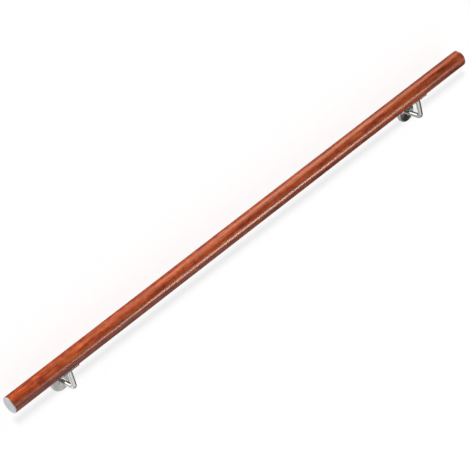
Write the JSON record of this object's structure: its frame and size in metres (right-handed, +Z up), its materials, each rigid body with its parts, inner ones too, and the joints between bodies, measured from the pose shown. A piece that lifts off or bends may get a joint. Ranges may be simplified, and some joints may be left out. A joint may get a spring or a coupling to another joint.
{
  "type": "grab rail",
  "caption": "Long straight round wood-look grab rail with flat metal end caps, held off a wall by bent-rod brackets with saddles and sliding round cover rosettes.",
  "frame": {"origin": "centre of the left wall flange's back face, on the wall plane", "axes": "+X along the rail towards the right bracket, +Y into the wall, +Z up towards the rail"},
  "size_m": [1.5, 0.123, 0.123],
  "materials": {
    "wood_grain": "semi-gloss mahogany wood-grain film with streaks along the rail",
    "tube_metal": "plain drawn tube",
    "cap_steel": "satin stainless steel",
    "grip_nylon": "moulded ribs",
    "bracket_steel": "polished stainless steel",
    "rosette_steel": "polished stainless steel, turned lines on the face",
    "screw_steel": "zinc-bright steel"
  },
  "bodies": {
    "rail": {"rail_tube": "tube_metal", "wood_grain_wrap": "wood_grain", "left_end_cap": "cap_steel", "left_cap_grip_ring": "grip_nylon", "left_wall_flange": "bracket_steel", "left_support_rod": "bracket_steel", "left_saddle_plate": "bracket_steel", "left_wall_screw_top": "screw_steel", "left_wall_screw_lower_left": "screw_steel", "left_wall_screw_lower_right": "screw_steel", "left_saddle_screw_outer": "screw_steel", "left_saddle_screw_inner": "screw_steel", "right_end_cap": "cap_steel", "right_cap_grip_ring": "grip_nylon", "right_wall_flange": "bracket_steel", "right_support_rod": "bracket_steel", "right_saddle_plate": "bracket_steel", "right_wall_screw_top": "screw_steel", "right_wall_screw_lower_left": "screw_steel", "right_wall_screw_lower_right": "screw_steel", "right_saddle_screw_outer": "screw_steel", "right_saddle_screw_inner": "screw_steel"},
    "left_cover": {"left_cover_rosette": "rosette_steel"},
    "right_cover": {"right_cover_rosette": "rosette_steel"}
  },
  "joints": [
    {"name": "left_cover_slide", "type": "slide", "parent": "rail", "child": "left_cover", "axis": [0, -1, 0], "range_m": [0, 0.03]},
    {"name": "right_cover_slide", "type": "slide", "parent": "rail", "child": "right_cover", "axis": [0, -1, 0], "range_m": [0, 0.03]}
  ]
}
